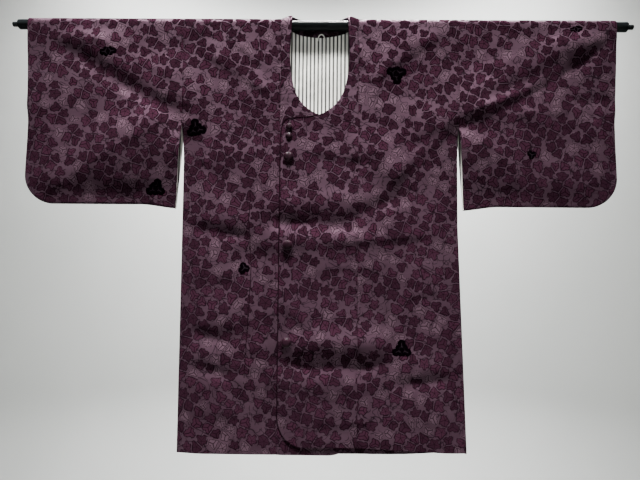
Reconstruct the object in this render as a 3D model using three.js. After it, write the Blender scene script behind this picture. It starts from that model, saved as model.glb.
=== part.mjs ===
// A kimono coat hung flat on a rod that runs through both sleeves. Millimetres, +Z up.
// The origin is on the rod's axis at the middle of the neck. +X is the wearer's left, and the front faces -Y.
// Every piece of cloth is a wall of one thickness. Its outer skin is a function of two lengths:
// x, across the coat, and q, down the cloth from the shoulder line, over the rod and on to the hem.
import * as THREE from "three";

// Rod
const ROD_RADIUS = 11;
const ROD_LEFT_END = 686;
const ROD_RIGHT_END = -680;
const ROD_STUB_RADIUS = 5.5;
const ROD_STUB_LENGTH = 14;
const ROD_CHAMFER = 1.5;
const ROD_SIDES = 24;

// Cloth
const WALL = 2.2;
const SEAM_GAP = 0.3;
const COLLAR_GAP = 1; // along the curved seam under the back collar
const ROD_CLEARANCE = 0.45;
const CREST_RADIUS = ROD_RADIUS + ROD_CLEARANCE + WALL; // outer skin over the rod
const OVER_ROD = (CREST_RADIUS * Math.PI) / 2; // cloth from the shoulder line to the rod's mid height
const HALF_DEPTH = 11.5; // from the middle plane to the outer skin, below the rod
const DEPTH_FALL = 55; // height over which the skin comes in from the rod to HALF_DEPTH
const LEAST_HALF_DEPTH = 6.4;
const EDGE_RADIUS = 4.4; // half depth beside a sewn edge
const EDGE_REACH = 60; // width over which a wall comes in to a sewn edge
const FOLD_FADE = 45; // height below the rod over which folds begin

// Outline of the coat
const BAND_X = 86; // seam of a front band, and the front edge on the other side
const ARMHOLE_DEPTH = 225;
const CUFF_DEPTH = 190;
const CLOSE_HEIGHT = 40; // height over which an open edge becomes a sewn one
const CUFF_SWAY = 2.5;
const CUFF_SWAY_HEIGHT = 180;
const BAND_CORNER_RADIUS = 62;
const SLEEVE_CORNER_RADIUS = 66;
const FLARE_START = 450;
const SIDES = [
  {
    name: "right",
    sign: -1,
    armhole: 304,
    waist: 300,
    hemSide: 301,
    cuff: 651,
    sleeveDrift: 12,
    frontHem: [942, 942],
  },
  {
    name: "left",
    sign: 1,
    armhole: 308,
    waist: 306,
    hemSide: 323,
    cuff: 654,
    sleeveDrift: 11,
    frontHem: [925, 937],
  },
];
const BACK_HEM = { middle: 946, side: 940 };
const SLEEVE_BOTTOM = { cuff: 407, body: 416, droopWidth: 90 };
const LENGTH = 940;
const SIDE_EASE = 90; // height over which the side seam comes in below the armhole
const BACK_HEM_LEVEL_TO = 150; // the back hem rises from here out to the side seam

// Left over right: how far the left front stands off, and where that begins and ends
const OVERLAP = { rise: 3, full: 108, none: 215, startDown: 120, fullDown: 195 };

// Neck edge of a front band, from the shoulder to its tip past the middle. x is from the coat's middle,
// negative past it, and down is below the rod's axis.
const NECK_EDGE = [
  { x: 63, down: 0 },
  { x: 67, down: 70 },
  { x: 64, down: 112 },
  { x: 56, down: 150 },
  { x: 39, down: 181 },
  { x: 19, down: 198 },
  { x: 0, down: 207 },
  { x: -34, down: 212 },
  { x: -66, down: 215 },
  { x: -78, down: 223 },
  { x: -84, down: 240 },
  { x: -BAND_X, down: 262 },
];
// Top edge of the cloth beside the neck, which stands above the rod and passes behind it.
const CREST = [
  { x: 0, back: CREST_RADIUS, up: 11 },
  { x: 22, back: 13, up: 12.5 },
  { x: 45, back: 10.5, up: 18 },
  { x: 63, back: 4, up: 22 },
  { x: 88, back: 0, up: CREST_RADIUS },
];
const STRAIGHT_TO_X = 42; // the back collar's wall is straight up to here, and round from the peak on
const PEAK_X = 63;
// Seam between the back collar and the back, measured down the cloth from the top edge.
const COLLAR_SEAM = [
  { x: 0, down: 45 },
  { x: 30, down: 42 },
  { x: 55, down: 35 },
  { x: 70, down: 25 },
  { x: 78, down: 17 },
  { x: 82, down: 12 },
  { x: BAND_X, down: 5 },
  { x: 88, down: 0 },
];

// Lining, loop and buttons
const LINING = { wall: 1, middle: 130, halfWidth: 180, top: 6, bottom: 340 };
const LOOP = { x: 3, halfWidth: 8, foot: 31, height: 15, radius: 1.1 };
const LARGE_BUTTON = { radius: 11, height: 7.4, downs: [301, 495, 704] };
const SMALL_BUTTON = { radius: 7.6, height: 6, downs: [234, 255] };
const BUTTON_X = -66;
const BUTTON_SIDES = 16;
// Stem, rim and dome, as shares of a button's radius and height.
const BUTTON_PROFILE = [
  { radius: 0, height: 0 },
  { radius: 0.3, height: 0 },
  { radius: 0.34, height: 0.14 },
  { radius: 0.88, height: 0.22 },
  { radius: 1, height: 0.4 },
  { radius: 0.86, height: 0.72 },
  { radius: 0.5, height: 0.94 },
  { radius: 0, height: 1 },
];

// The largest folds. Each is a soft ridge (rise above 0) or trough (below 0), centred at x and down,
// turned by tilt degrees (positive climbs towards +X).
const FRONT_FOLDS = [
  { x: -454, down: 124, tilt: -32, length: 310, width: 19, rise: -5 },
  { x: -470, down: 72, tilt: -32, length: 240, width: 24, rise: 2.5 },
  { x: -420, down: 248, tilt: 26, length: 190, width: 24, rise: 5 },
  { x: -385, down: 335, tilt: 12, length: 190, width: 40, rise: -3.5 },
  { x: 483, down: 118, tilt: 25, length: 350, width: 19, rise: -5 },
  { x: 500, down: 66, tilt: 25, length: 260, width: 24, rise: 2.5 },
  { x: 430, down: 205, tilt: -8, length: 210, width: 22, rise: 4 },
  { x: 385, down: 335, tilt: -6, length: 150, width: 44, rise: -4 },
  { x: 598, down: 172, tilt: 0, length: 110, width: 14, rise: -3 },
  { x: 256, down: 258, tilt: 23, length: 130, width: 17, rise: -4 },
  { x: -10, down: 398, tilt: 4, length: 230, width: 22, rise: 3 },
  { x: -25, down: 444, tilt: 0, length: 170, width: 16, rise: -4.5 },
  { x: 112, down: 418, tilt: 26, length: 150, width: 16, rise: -5 },
  { x: 20, down: 483, tilt: 0, length: 240, width: 20, rise: 3 },
  { x: -228, down: 465, tilt: -6, length: 170, width: 15, rise: -4 },
  { x: -125, down: 520, tilt: 0, length: 110, width: 26, rise: -3 },
  { x: -228, down: 694, tilt: -4, length: 170, width: 18, rise: -3.5 },
  { x: -200, down: 772, tilt: -5, length: 160, width: 16, rise: -3 },
  { x: 40, down: 704, tilt: 0, length: 230, width: 22, rise: 4 },
  { x: 40, down: 750, tilt: 0, length: 230, width: 18, rise: -5.5 },
  { x: 40, down: 798, tilt: 0, length: 200, width: 24, rise: 3 },
  { x: 250, down: 782, tilt: 5, length: 160, width: 17, rise: -4 },
];
const BACK_FOLDS = [
  { x: -460, down: 130, tilt: -28, length: 300, width: 20, rise: -4.5 },
  { x: -410, down: 330, tilt: 10, length: 200, width: 42, rise: -3 },
  { x: 470, down: 126, tilt: 27, length: 320, width: 20, rise: -4.5 },
  { x: 400, down: 320, tilt: -8, length: 190, width: 40, rise: -3.5 },
  { x: 30, down: 396, tilt: -3, length: 420, width: 24, rise: 3 },
  { x: 60, down: 440, tilt: -4, length: 380, width: 20, rise: -4 },
  { x: -190, down: 462, tilt: 5, length: 200, width: 18, rise: -3 },
  { x: -60, down: 700, tilt: 3, length: 360, width: 24, rise: 3 },
  { x: -80, down: 748, tilt: 3, length: 340, width: 20, rise: -4.5 },
  { x: 200, down: 770, tilt: -5, length: 200, width: 19, rise: -3.5 },
];

// Mesh spacing
const ARC_ROWS = 4;
const EDGE_STEPS = [60, 30, 0]; // degrees round a sewn edge
const FRONT_ROW = 30;
const BACK_ROW = 38;
const SLEEVE_ROW = 29;
const COLLAR_ROWS = 6;
const LINING_ROWS = 6;
const HEM_ROWS = 3;
const HEM_ROWS_FROM = 862; // rows above this are level, and those below bend to the hem
const NECK_SIDE_ROWS = [35, 131]; // extra rows beside the neck
const BACK_LEVEL_ROWS = [100, 300]; // the back's rows take up the hem's slope between these heights
const SETTLED_ROW = 5; // the back's rows above this bend to the neck seam
const PANEL_SPANS = 5;
const BAND_SPANS = 6;
const SLEEVE_SPANS = 7;
const SLEEVE_BACK_SPANS = 6;
const LOOP_SPANS = 8;
const DIFF = 0.5; // step of the differences that give a skin's slope
const DIAGONAL_BIAS = 1.05; // a cell is split the same way as its neighbours unless that way is much longer

// Colours
const SILK = new THREE.MeshStandardMaterial({ color: 0x5d4353, roughness: 0.55 });
const STRIPED_SILK = new THREE.MeshStandardMaterial({ color: 0xd8d6d2, roughness: 0.6 });
const WHITE_CORD = new THREE.MeshStandardMaterial({ color: 0xf0eeea, roughness: 0.8 });
const BUTTON_SILK = new THREE.MeshStandardMaterial({ color: 0x33212d, roughness: 0.4 });
const BLACK_GLOSS = new THREE.MeshStandardMaterial({ color: 0x0d1110, roughness: 0.2 });

const radians = THREE.MathUtils.degToRad;
const clamp = THREE.MathUtils.clamp;
const lerp = THREE.MathUtils.lerp;
const smooth = THREE.MathUtils.smoothstep;

const FRONT = -1;
const BACK = 1;

// Straight interpolation of one column of a table by another, from low to high.
function lookUp(table, key, value, at) {
  const after = table.findIndex((row) => row[key] >= at);
  if (after === -1) return table[table.length - 1][value];
  if (after === 0) return table[0][value];
  const low = table[after - 1];
  const high = table[after];
  return lerp(low[value], high[value], (at - low[key]) / (high[key] - low[key]));
}

function foldSum(folds, x, down) {
  let sum = 0;
  for (const fold of folds) {
    const tilt = radians(fold.tilt);
    const right = x - fold.x;
    const up = fold.down - down;
    const along = right * Math.cos(tilt) + up * Math.sin(tilt);
    const across = up * Math.cos(tilt) - right * Math.sin(tilt);
    const end = (2 * along) / fold.length;
    sum += fold.rise * Math.exp(-((across / fold.width) ** 2) - end ** 4);
  }
  return sum;
}

// Half depth of the hanging coat, before its sewn edges: folds never bring a wall to its other side.
function openHalfDepth(side, x, down) {
  const fall = Math.exp(-((down / DEPTH_FALL) ** 2));
  const rest = HALF_DEPTH + (CREST_RADIUS - HALF_DEPTH) * fall;
  const folds = foldSum(side === FRONT ? FRONT_FOLDS : BACK_FOLDS, x, down);
  return Math.max(LEAST_HALF_DEPTH, rest + folds * smooth(down, 0, FOLD_FADE));
}

// Brings a half depth in to a sewn edge. inside is the distance to that edge, and shut is 0 where it is open
// and 1 where it is sewn.
function closed(halfDepth, inside, shut) {
  const ease = smooth(inside, 0, EDGE_REACH);
  const depth = halfDepth + (EDGE_RADIUS - halfDepth) * shut * (1 - ease);
  const round = clamp(1 - inside / EDGE_RADIUS, 0, 1);
  return depth * (1 - shut * (1 - Math.sqrt(1 - round ** 2)));
}

function shutBelow(down, start) {
  return smooth(down, start, start + CLOSE_HEIGHT);
}

// A skin gives its outer half depth at x and down. offset moves the whole layer out, or in if negative.
function bodySkin(side, offset = () => 0) {
  return {
    side,
    halfDepth(x, down) {
      const half = x < 0 ? SIDES[0] : SIDES[1];
      const inside = Math.max(0, sideSeam(half, down) - Math.abs(x));
      const shut = shutBelow(down, ARMHOLE_DEPTH);
      return closed(openHalfDepth(side, x, down), inside, shut) + offset(x, down);
    },
    edgeShut: (down) => shutBelow(down, ARMHOLE_DEPTH),
  };
}

function sleeveSkin(half, side) {
  return {
    side,
    halfDepth(x, down) {
      const inside = Math.max(0, insideSleeve(half, Math.abs(x), down));
      const shut = shutBelow(down, CUFF_DEPTH);
      return closed(openHalfDepth(side, x, down), inside, shut);
    },
    edgeShut: (down) => shutBelow(down, CUFF_DEPTH),
  };
}

// The left front lies on the right one.
function overlapRise(x, down) {
  const across = 1 - smooth(x, OVERLAP.full, OVERLAP.none);
  return OVERLAP.rise * across * smooth(down, OVERLAP.startDown, OVERLAP.fullDown);
}

// Side seam and armhole seam, as distances from the middle.
function sideSeam(half, down) {
  const narrowed = lerp(half.armhole, half.waist, smooth(down, ARMHOLE_DEPTH, ARMHOLE_DEPTH + SIDE_EASE));
  const flare = (half.hemSide - half.waist) * clamp((down - FLARE_START) / (LENGTH - FLARE_START), 0, 1);
  return narrowed + flare;
}

function sleeveInner(half, down) {
  const drop = (down - ARMHOLE_DEPTH) / (SLEEVE_BOTTOM.body - ARMHOLE_DEPTH);
  return half.armhole + half.sleeveDrift * clamp(drop, 0, 1);
}

function cuffEdge(half, down) {
  return half.cuff + CUFF_SWAY * Math.cos((Math.PI * down) / CUFF_SWAY_HEIGHT);
}

function sleeveBottom(half, across) {
  const droop = smooth(half.armhole + SLEEVE_BOTTOM.droopWidth - across, 0, SLEEVE_BOTTOM.droopWidth);
  return lerp(SLEEVE_BOTTOM.cuff, SLEEVE_BOTTOM.body, droop);
}

// Distance from a point of a sleeve to its sewn outline, the cuff side and the bottom with a round corner.
function insideSleeve(half, across, down) {
  const fromCuff = cuffEdge(half, down) - across;
  const fromBottom = sleeveBottom(half, across) - down;
  if (fromCuff > SLEEVE_CORNER_RADIUS || fromBottom > SLEEVE_CORNER_RADIUS)
    return Math.min(fromCuff, fromBottom);
  const right = SLEEVE_CORNER_RADIUS - fromCuff;
  const below = SLEEVE_CORNER_RADIUS - fromBottom;
  return SLEEVE_CORNER_RADIUS - Math.hypot(right, below);
}

// Outer skin at x across and q down the cloth.
function skinPoint(skin, x, q) {
  const gap = (skin.side * SEAM_GAP) / 2;
  if (q >= OVER_ROD) {
    const down = q - OVER_ROD;
    return new THREE.Vector3(x, skin.side * skin.halfDepth(x, down) + gap, -down);
  }
  const across = Math.abs(x);
  const back = lookUp(CREST, "x", "back", across);
  const up = lookUp(CREST, "x", "up", across);
  const reach = skin.side * skin.halfDepth(x, 0) - back;
  const share = q / OVER_ROD;
  const angle = (share * Math.PI) / 2;
  const bend = skin.side === BACK ? clamp((across - STRAIGHT_TO_X) / (PEAK_X - STRAIGHT_TO_X), 0, 1) : 1;
  const y = back + reach * lerp(share, Math.sin(angle), bend);
  const z = up * lerp(1 - share, Math.cos(angle), bend);
  return new THREE.Vector3(x, y + gap, z);
}

function skinNormal(skin, x, q) {
  const low = Math.max(0, q - DIFF);
  const alongX = skinPoint(skin, x + DIFF, q).sub(skinPoint(skin, x - DIFF, q));
  const alongQ = skinPoint(skin, x, q + DIFF).sub(skinPoint(skin, x, low));
  return alongX.cross(alongQ).multiplyScalar(skin.side).normalize();
}

// A wall over a grid of { x, q, flat } places, row by row from the shoulder down, x rising along a row.
// flat holds the factors on the normal's parts, which square a border off against its seam.
function wallMesh(name, material, skin, rows, wall = WALL) {
  const width = rows[0].length;
  const outer = [];
  const inner = [];
  for (const place of rows.flat()) {
    const point = skinPoint(skin, place.x, place.q);
    const normal = skinNormal(skin, place.x, place.q);
    if (place.flat) normal.multiply(place.flat).normalize();
    outer.push(point);
    inner.push(point.clone().addScaledVector(normal, -wall));
  }
  const count = outer.length;
  const faces = [];
  const addFace = (a, b, c) => faces.push(skin.side === FRONT ? [a, b, c] : [a, c, b]);
  const addBoth = (a, b, c) => {
    addFace(a, b, c);
    addFace(c + count, b + count, a + count);
  };
  for (let row = 0; row + 1 < rows.length; row++) {
    for (let column = 0; column + 1 < width; column++) {
      const a = row * width + column;
      const b = a + 1;
      const d = a + width;
      const c = d + 1;
      const down = Math.hypot(outer[a].x - outer[c].x, outer[a].z - outer[c].z);
      const up = Math.hypot(outer[b].x - outer[d].x, outer[b].z - outer[d].z);
      if (down <= up * DIAGONAL_BIAS) {
        addBoth(a, d, c);
        addBoth(a, c, b);
      } else {
        addBoth(a, d, b);
        addBoth(b, d, c);
      }
    }
  }
  const last = (rows.length - 1) * width;
  const rim = [];
  for (let row = 0; row + 1 < rows.length; row++) rim.push(row * width);
  for (let column = 0; column + 1 < width; column++) rim.push(last + column);
  for (let row = rows.length - 1; row > 0; row--) rim.push(row * width + width - 1);
  for (let column = width - 1; column > 0; column--) rim.push(column);
  rim.forEach((from, index) => {
    const to = rim[(index + 1) % rim.length];
    addFace(to, from, from + count);
    addFace(to, from + count, to + count);
  });
  return solidMesh(name, material, [...outer, ...inner], faces);
}

function solidMesh(name, material, points, faces) {
  const geometry = new THREE.BufferGeometry().setFromPoints(points);
  geometry.setIndex(faces.flat());
  geometry.computeVertexNormals();
  const mesh = new THREE.Mesh(geometry, material);
  mesh.name = name;
  return mesh;
}

function evenly(from, to, spans) {
  return Array.from({ length: spans + 1 }, (_, index) => lerp(from, to, index / spans));
}

// Stations from an open edge to a sewn one, with the last few round the edge.
function toSewnEdge(from, to, spans) {
  const inward = Math.sign(from - to) * EDGE_RADIUS;
  const turn = EDGE_STEPS.map((step) => to + inward * (1 - Math.cos(radians(step))));
  return [...evenly(from, to + inward, spans), ...turn];
}

// Lengths down the cloth that the rows of a wall follow: over the rod, then down by about step.
function rowLengths(bottom, step) {
  const spans = Math.round(bottom / step);
  const over = evenly(0, OVER_ROD, ARC_ROWS);
  return [...over, ...evenly(OVER_ROD, OVER_ROD + bottom, spans).slice(1)];
}

// Rows of the fronts, which both fronts share so that they lie on each other: the neck edge's heights first.
function frontRows(hemDown) {
  const neck = NECK_EDGE.slice(1).map((row) => row.down);
  const upper = [...neck, ...NECK_SIDE_ROWS].sort((a, b) => a - b);
  const neckEnd = neck[neck.length - 1];
  const lower = evenly(neckEnd, HEM_ROWS_FROM, Math.round((HEM_ROWS_FROM - neckEnd) / FRONT_ROW)).slice(1);
  const hem = evenly(HEM_ROWS_FROM, hemDown, HEM_ROWS).slice(1);
  const over = evenly(0, OVER_ROD, ARC_ROWS);
  return [...over, ...[...upper, ...lower, ...hem].map((down) => OVER_ROD + down)];
}

function ordered(sign, row) {
  return sign < 0 ? row.reverse() : row;
}

function flatFactors(x, y) {
  return new THREE.Vector3(x, y, 1);
}

// Moves a place near a round corner in to the arc. right and below are its shares of the corner square.
function cornerShares(right, below) {
  const kept = { right: Math.max(0, right), below: Math.max(0, below) };
  return {
    right: right > 0 && below > 0 ? right * Math.sqrt(1 - kept.below ** 2 / 2) : right,
    below: right > 0 && below > 0 ? below * Math.sqrt(1 - kept.right ** 2 / 2) : below,
  };
}

function roundCorner(across, down, edge, bottom, radius) {
  const moved = cornerShares((across - edge + radius) / radius, (down - bottom + radius) / radius);
  return { across: edge - radius + moved.right * radius, down: bottom - radius + moved.below * radius };
}

function frontPanel(half) {
  const skin = bodySkin(FRONT, half.sign > 0 ? overlapRise : undefined);
  const [bandHem, sideHem] = half.frontHem;
  const innerX = BAND_X + SEAM_GAP / 2;
  const rows = frontRows(sideHem).map((sideLength, index) => {
    const level = sideLength - OVER_ROD;
    const outerX = sideSeam(half, Math.max(0, level)) - SEAM_GAP / 2;
    const stations = toSewnEdge(innerX, outerX, PANEL_SPANS);
    return ordered(
      half.sign,
      stations.map((across, station) => {
        const hemShare = (across - innerX) / (outerX - innerX);
        const q = frontRows(lerp(bandHem, sideHem, hemShare))[index];
        const shut = skin.edgeShut(q - OVER_ROD);
        const atSide = station === stations.length - 1;
        const flat = flatFactors(station === 0 ? 0 : 1, q === 0 ? 0 : atSide ? 1 - shut : 1);
        if (atSide) flat.x = shut > 0 ? 1 : 0;
        return { x: half.sign * across, q, flat };
      }),
    );
  });
  return wallMesh(`${half.name}_front`, SILK, skin, rows);
}

// Neck and front edge of a band as a distance from the middle, negative past it.
function bandEdge(down) {
  return lookUp(NECK_EDGE, "down", "x", down);
}

function frontBand(half) {
  const skin = bodySkin(FRONT, half.sign > 0 ? overlapRise : undefined);
  const seam = BAND_X - SEAM_GAP / 2;
  const hem = half.frontHem[0];
  const rows = frontRows(hem).map((length) => {
    const stations = evenly(seam, bandEdge(length - OVER_ROD), BAND_SPANS);
    const row = stations.map((across, station) => {
      const placed = roundCorner(-across, length - OVER_ROD, BAND_X, hem, BAND_CORNER_RADIUS);
      const flat = flatFactors(station === 0 ? 0 : 1, length === 0 ? 0 : 1);
      return { x: -half.sign * placed.across, q: OVER_ROD + placed.down, flat };
    });
    return ordered(-half.sign, row);
  });
  return wallMesh(`${half.name}_front_band`, SILK, skin, rows);
}

function backPanel(half) {
  const skin = bodySkin(BACK);
  const neckStations = [SEAM_GAP / 2, ...COLLAR_SEAM.slice(1).map((row) => row.x)];
  const lengths = rowLengths(BACK_HEM.side, BACK_ROW);
  const settled = lengths[SETTLED_ROW];
  const rows = lengths.map((length, index) => {
    const down = Math.max(0, length - OVER_ROD);
    const outerX = sideSeam(half, down) - SEAM_GAP / 2;
    const wide = toSewnEdge(COLLAR_SEAM[COLLAR_SEAM.length - 1].x, outerX, PANEL_SPANS).slice(1);
    const stations = [...neckStations, ...wide];
    const row = stations.map((across, station) => {
      const seam = lookUp(COLLAR_SEAM, "x", "down", across);
      const start = seam > 0 ? seam + COLLAR_GAP / 2 : 0;
      const hem = OVER_ROD + lerp(BACK_HEM.middle, BACK_HEM.side, smooth(across, BACK_HEM_LEVEL_TO, outerX));
      const stretch = hem / (OVER_ROD + BACK_HEM.side);
      const bent = lerp(start, settled, length / settled);
      const sloped = lerp(length, length * stretch, smooth(down, ...BACK_LEVEL_ROWS));
      const q = index < SETTLED_ROW ? bent : sloped;
      const shut = skin.edgeShut(q - OVER_ROD);
      const atSide = station === stations.length - 1;
      const flat = flatFactors(station === 0 ? 0 : 1, q === 0 ? 0 : atSide ? 1 - shut : 1);
      if (atSide) flat.x = shut > 0 ? 1 : 0;
      return { x: half.sign * across, q, flat };
    });
    return ordered(half.sign, row);
  });
  return wallMesh(`${half.name}_back`, SILK, skin, rows);
}

function backCollar() {
  const skin = bodySkin(BACK);
  const knots = [...CREST, ...COLLAR_SEAM].map((row) => row.x).filter((x) => x > 0 && x < BAND_X);
  const positive = [...new Set(knots)].sort((a, b) => a - b).concat(BAND_X - COLLAR_GAP);
  const across = [...positive.map((x) => -x).reverse(), 0, ...positive];
  const rows = evenly(0, 1, COLLAR_ROWS).map((share) =>
    across.map((x) => {
      const bottom = lookUp(COLLAR_SEAM, "x", "down", Math.abs(x)) - COLLAR_GAP / 2;
      const seated = share === 0 && Math.abs(x) >= PEAK_X;
      const end = Math.abs(x) === positive[positive.length - 1];
      return { x, q: share * bottom, flat: flatFactors(end ? 0 : 1, seated ? 0 : 1) };
    }),
  );
  return wallMesh("back_collar", SILK, skin, rows);
}

function backLining() {
  const inset = -(WALL + SEAM_GAP);
  const skin = bodySkin(BACK, () => inset);
  const knots = COLLAR_SEAM.slice(1).map((row) => row.x);
  const positive = [...knots, LINING.middle, LINING.halfWidth];
  const across = [...positive.map((x) => -x).reverse(), 0, ...positive];
  const rows = evenly(0, 1, LINING_ROWS).map((share) =>
    across.map((x) => {
      const seam = lookUp(COLLAR_SEAM, "x", "down", Math.abs(x)) + SEAM_GAP;
      const top = Math.max(seam, OVER_ROD + LINING.top);
      return { x, q: lerp(top, OVER_ROD + LINING.bottom, share) };
    }),
  );
  return wallMesh("back_lining", STRIPED_SILK, skin, rows, LINING.wall);
}

function sleeveWall(half, side, spans, step) {
  const skin = sleeveSkin(half, side);
  const bottom = SLEEVE_BOTTOM.cuff - EDGE_RADIUS;
  const turn = EDGE_STEPS.map((angle) => SLEEVE_BOTTOM.cuff - EDGE_RADIUS * (1 - Math.cos(radians(angle))));
  const lengths = [...rowLengths(bottom, step), ...turn.map((down) => OVER_ROD + down)];
  const rows = lengths.map((length, index) => {
    const level = Math.max(0, length - OVER_ROD);
    const stations = toSewnEdge(sleeveInner(half, level) + SEAM_GAP / 2, cuffEdge(half, level), spans);
    const row = stations.map((across, station) => {
      const drop = sleeveBottom(half, across) / SLEEVE_BOTTOM.cuff;
      const edge = cuffEdge(half, level);
      const placed = roundCorner(across, level, edge, SLEEVE_BOTTOM.cuff, SLEEVE_CORNER_RADIUS);
      const q = length < OVER_ROD ? length : OVER_ROD + placed.down * drop;
      const atCuff = station === stations.length - 1;
      const atBottom = index === lengths.length - 1;
      const shut = atBottom ? 1 : skin.edgeShut(level);
      const flat = flatFactors(station === 0 ? 0 : 1, q === 0 ? 0 : atCuff || atBottom ? 1 - shut : 1);
      if (atCuff) flat.x = shut > 0 ? 1 : 0;
      return { x: half.sign * placed.across, q, flat };
    });
    return ordered(half.sign, row);
  });
  const place = side === FRONT ? "front" : "back";
  return wallMesh(`${half.name}_sleeve_${place}`, SILK, skin, rows);
}

function turned(name, material, profile, sides) {
  const points = profile.map(([radius, height]) => new THREE.Vector2(radius, height));
  const mesh = new THREE.Mesh(new THREE.LatheGeometry(points, sides), material);
  mesh.name = name;
  return mesh;
}

function rod() {
  const profile = [
    [0, ROD_RIGHT_END - ROD_STUB_LENGTH],
    [ROD_STUB_RADIUS, ROD_RIGHT_END - ROD_STUB_LENGTH],
    [ROD_STUB_RADIUS, ROD_RIGHT_END],
    [ROD_RADIUS - ROD_CHAMFER, ROD_RIGHT_END],
    [ROD_RADIUS, ROD_RIGHT_END + ROD_CHAMFER],
    [ROD_RADIUS, ROD_LEFT_END - ROD_CHAMFER],
    [ROD_RADIUS - ROD_CHAMFER, ROD_LEFT_END],
    [ROD_STUB_RADIUS, ROD_LEFT_END],
    [ROD_STUB_RADIUS, ROD_LEFT_END + ROD_STUB_LENGTH],
    [0, ROD_LEFT_END + ROD_STUB_LENGTH],
  ];
  const mesh = turned("rod", BLACK_GLOSS, profile, ROD_SIDES);
  mesh.rotation.z = -Math.PI / 2;
  return mesh;
}

// A covered button on its stem, square to the cloth that it is sewn to.
function button(name, size, down) {
  const profile = BUTTON_PROFILE.map((row) => [size.radius * row.radius, size.height * row.height]);
  const mesh = turned(name, BUTTON_SILK, profile, BUTTON_SIDES);
  const skin = bodySkin(FRONT, overlapRise);
  const normal = skinNormal(skin, BUTTON_X, OVER_ROD + down);
  mesh.quaternion.setFromUnitVectors(new THREE.Vector3(0, 1, 0), normal);
  mesh.position.copy(skinPoint(skin, BUTTON_X, OVER_ROD + down)).addScaledVector(normal, SEAM_GAP);
  return mesh;
}

function hangingLoop() {
  const skin = bodySkin(BACK);
  const depth = WALL + LINING.wall + 2 * SEAM_GAP + LOOP.radius;
  const points = evenly(0, Math.PI, LOOP_SPANS).map((angle) => {
    const down = LOOP.foot - LOOP.height * Math.sin(angle);
    const x = LOOP.x - LOOP.halfWidth * Math.cos(angle);
    return new THREE.Vector3(x, skin.halfDepth(x, down) - depth, -down);
  });
  const section = new THREE.Shape();
  section.absarc(0, 0, LOOP.radius, 0, 2 * Math.PI);
  const geometry = new THREE.ExtrudeGeometry(section, {
    steps: LOOP_SPANS * 2,
    curveSegments: 4,
    bevelEnabled: false,
    extrudePath: new THREE.CatmullRomCurve3(points),
  });
  const mesh = new THREE.Mesh(geometry, WHITE_CORD);
  mesh.name = "hanging_loop";
  return mesh;
}

const coat = new THREE.Group();
coat.add(rod(), backCollar(), backLining(), hangingLoop());
for (const half of SIDES) {
  coat.add(frontPanel(half), frontBand(half), backPanel(half));
  coat.add(sleeveWall(half, FRONT, SLEEVE_SPANS, SLEEVE_ROW));
  coat.add(sleeveWall(half, BACK, SLEEVE_BACK_SPANS, BACK_ROW));
}
const BUTTONS = { small_button: SMALL_BUTTON, large_button: LARGE_BUTTON };
for (const [name, size] of Object.entries(BUTTONS))
  size.downs.forEach((down, index) => coat.add(button(`${name}_${index + 1}`, size, down)));

export default coat;
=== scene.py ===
import math

import bmesh
import bpy
import numpy as np
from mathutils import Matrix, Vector


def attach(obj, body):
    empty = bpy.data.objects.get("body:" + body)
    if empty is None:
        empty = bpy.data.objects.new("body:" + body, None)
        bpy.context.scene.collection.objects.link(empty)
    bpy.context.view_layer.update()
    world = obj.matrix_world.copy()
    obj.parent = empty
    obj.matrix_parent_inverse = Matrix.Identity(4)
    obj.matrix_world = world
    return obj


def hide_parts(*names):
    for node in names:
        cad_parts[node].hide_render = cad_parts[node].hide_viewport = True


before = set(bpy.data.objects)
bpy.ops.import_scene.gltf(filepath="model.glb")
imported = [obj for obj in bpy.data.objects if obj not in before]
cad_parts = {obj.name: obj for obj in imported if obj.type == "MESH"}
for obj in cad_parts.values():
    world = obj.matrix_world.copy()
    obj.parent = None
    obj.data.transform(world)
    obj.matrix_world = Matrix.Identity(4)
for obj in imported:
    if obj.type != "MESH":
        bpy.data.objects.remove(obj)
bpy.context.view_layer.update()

# Lengths are in millimetres, as in the part's source, and become metres where a mesh is made.
MM = 0.001
FRONT, BACK = -1, 1

# ---- sizes, the same as the solids'
ROD_RADIUS = 11.0
ROD_ENDS = (-680.0, 686.0)
ROD_STUB = (5.5, 14.0)
ROD_CHAMFER = 1.5
WALL = 2.2
SEAM_GAP = 0.3
ROD_CLEARANCE = 0.45
CREST_RADIUS = ROD_RADIUS + ROD_CLEARANCE + WALL
OVER_ROD = CREST_RADIUS * math.pi / 2
HALF_DEPTH = 11.5
DEPTH_FALL = 55.0
LEAST_HALF_DEPTH = 6.4
EDGE_RADIUS = 4.4
EDGE_REACH = 60.0
FOLD_FADE = 45.0
BAND_X = 86.0
ARMHOLE_DEPTH = 225.0
CUFF_DEPTH = 190.0
CLOSE_HEIGHT = 40.0
CUFF_SWAY = 2.5
CUFF_SWAY_HEIGHT = 180.0
BAND_CORNER_RADIUS = 62.0
SLEEVE_CORNER_RADIUS = 66.0
LENGTH = 940.0
SIDE_EASE = 90.0
FLARE_START = 450.0
FRONT_WIDTH = 215.0
PEAK_X = 63.0
COLLAR_X = 42.0  # the collar stands straight within this, and past the peak the cloth bends round the rod
COLLAR_HALF_WIDTH = 85.0
BUTTON_X = -66.0

SIDES = {
    -1: dict(name="right", armhole=304, waist=300, hem=301, cuff=651, drift=12, front_hem=(942, 942)),
    1: dict(name="left", armhole=308, waist=306, hem=323, cuff=654, drift=11, front_hem=(925, 937)),
}
BACK_HEM = dict(middle=946, side=940)
BACK_HEM_RISE = (150, 300)  # from here to here the back hem goes to its level at the side
SLEEVE_BOTTOM = dict(cuff=407, body=416, droop=90)
OVERLAP = dict(rise=3, full=108, none=215, start=120, end=195)

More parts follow.
